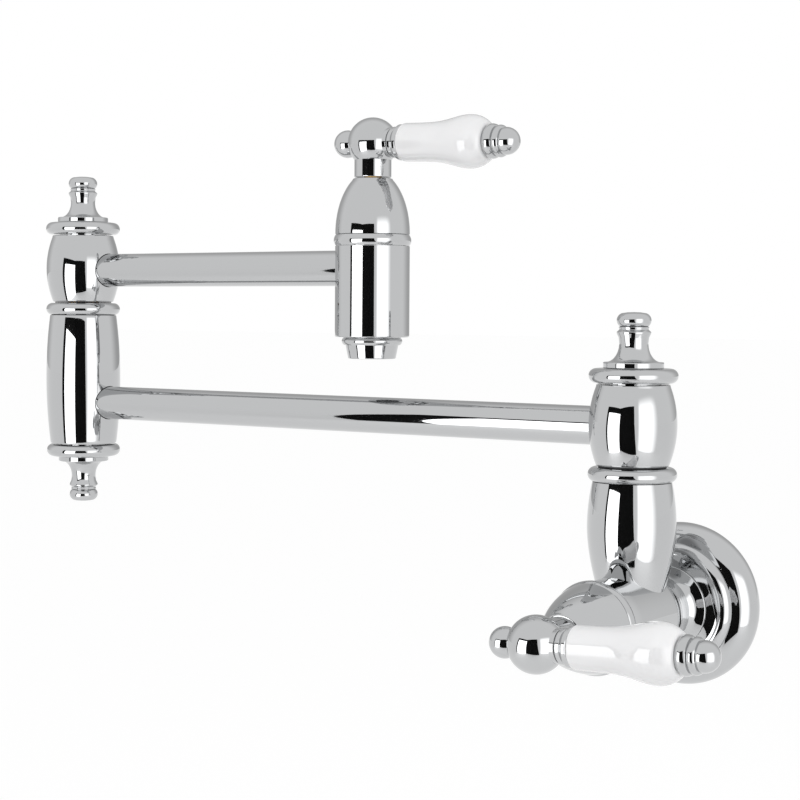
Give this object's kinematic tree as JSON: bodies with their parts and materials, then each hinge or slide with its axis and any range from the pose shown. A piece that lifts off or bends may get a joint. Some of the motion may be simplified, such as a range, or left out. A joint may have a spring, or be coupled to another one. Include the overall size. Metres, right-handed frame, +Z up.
{
  "type": "wall mounted pot filler faucet",
  "caption": "Wall-mounted pot filler faucet: a quarter-turn wall valve, a folding double-jointed swing arm, and a second quarter-turn valve at the spout, with porcelain lever handles.",
  "frame": {"origin": "middle of the wall flange's back face, on the valve axis: the point where the faucet's inlet meets the finished wall", "axes": "+Y into the wall, so the faucet stands out along -Y; +Z up; +X to the right for someone who faces the wall. The folded arm lies along -X, in front of the wall and parallel to it."},
  "size_m": [0.4764, 0.1677, 0.2902],
  "materials": {
    "chrome": "polished chrome plate over cast and turned brass",
    "porcelain": "glossy white glazed porcelain",
    "brass": "machined brass, unplated",
    "steel": "bare stainless steel",
    "rubber": "matt black rubber",
    "nylon": "black moulded nylon",
    "ceramic": "lapped alumina ceramic"
  },
  "bodies": {
    "wall_set": {"valve_body": "chrome", "inlet_shank": "brass", "wall_flange": "chrome", "flange_gasket": "rubber", "flange_set_screw": "steel", "riser_post": "brass", "riser_foot_seal": "rubber", "riser_head_seal": "rubber", "riser_thrust_washer": "nylon", "riser_head_washer": "nylon", "riser_nut": "steel", "wall_bonnet": "chrome", "wall_seat_seal": "rubber", "wall_cartridge": "brass", "wall_fixed_disc": "ceramic"},
    "lower_arm": {"riser_cap_ring": "chrome", "riser_finial": "chrome", "riser_barrel": "chrome", "lower_arm_tube": "chrome", "elbow_barrel": "chrome", "elbow_foot_ring": "chrome", "elbow_foot_finial": "chrome", "elbow_post": "brass", "elbow_foot_seal": "rubber", "elbow_head_seal": "rubber", "elbow_thrust_washer": "nylon", "elbow_head_washer": "nylon", "elbow_nut": "steel"},
    "upper_arm": {"upper_barrel": "chrome", "upper_cap_ring": "chrome", "upper_finial": "chrome", "upper_arm_tube": "chrome", "spout_body": "chrome", "aerator_nozzle": "chrome", "aerator_insert": "nylon", "aerator_screen": "steel", "aerator_gasket": "rubber", "spout_bonnet": "chrome", "spout_seat_seal": "rubber", "spout_cartridge": "brass", "spout_fixed_disc": "ceramic"},
    "wall_lever": {"wall_moving_disc": "ceramic", "wall_stem": "brass", "wall_stem_seal": "rubber", "wall_lever_hub": "chrome", "wall_lever_grub_screw": "steel", "wall_lever_collar": "chrome", "wall_lever_sleeve": "porcelain", "wall_lever_rod": "steel", "wall_lever_cap": "chrome"},
    "spout_lever": {"spout_moving_disc": "ceramic", "spout_stem": "brass", "spout_stem_seal": "rubber", "spout_lever_hub": "chrome", "spout_lever_grub_screw": "steel", "spout_lever_collar": "chrome", "spout_lever_sleeve": "porcelain", "spout_lever_rod": "steel", "spout_lever_cap": "chrome"}
  },
  "joints": [
    {"name": "riser_swivel", "type": "hinge", "parent": "wall_set", "child": "lower_arm", "pos_m": [0, -0.065, 0.0695], "axis": [0, 0, 1], "range_deg": [0, 180]},
    {"name": "elbow_swivel", "type": "hinge", "parent": "lower_arm", "child": "upper_arm", "pos_m": [-0.366, -0.065, 0.1471], "axis": [0, 0, 1], "continuous": true},
    {"name": "wall_valve", "type": "hinge", "parent": "wall_set", "child": "wall_lever", "pos_m": [0, -0.154, 0], "axis": [0, 1, 0], "range_deg": [0, 90]},
    {"name": "spout_valve", "type": "hinge", "parent": "upper_arm", "child": "spout_lever", "pos_m": [-0.15743, -0.06136, 0.2357], "axis": [0, 0, 1], "range_deg": [-90, 0]}
  ]
}
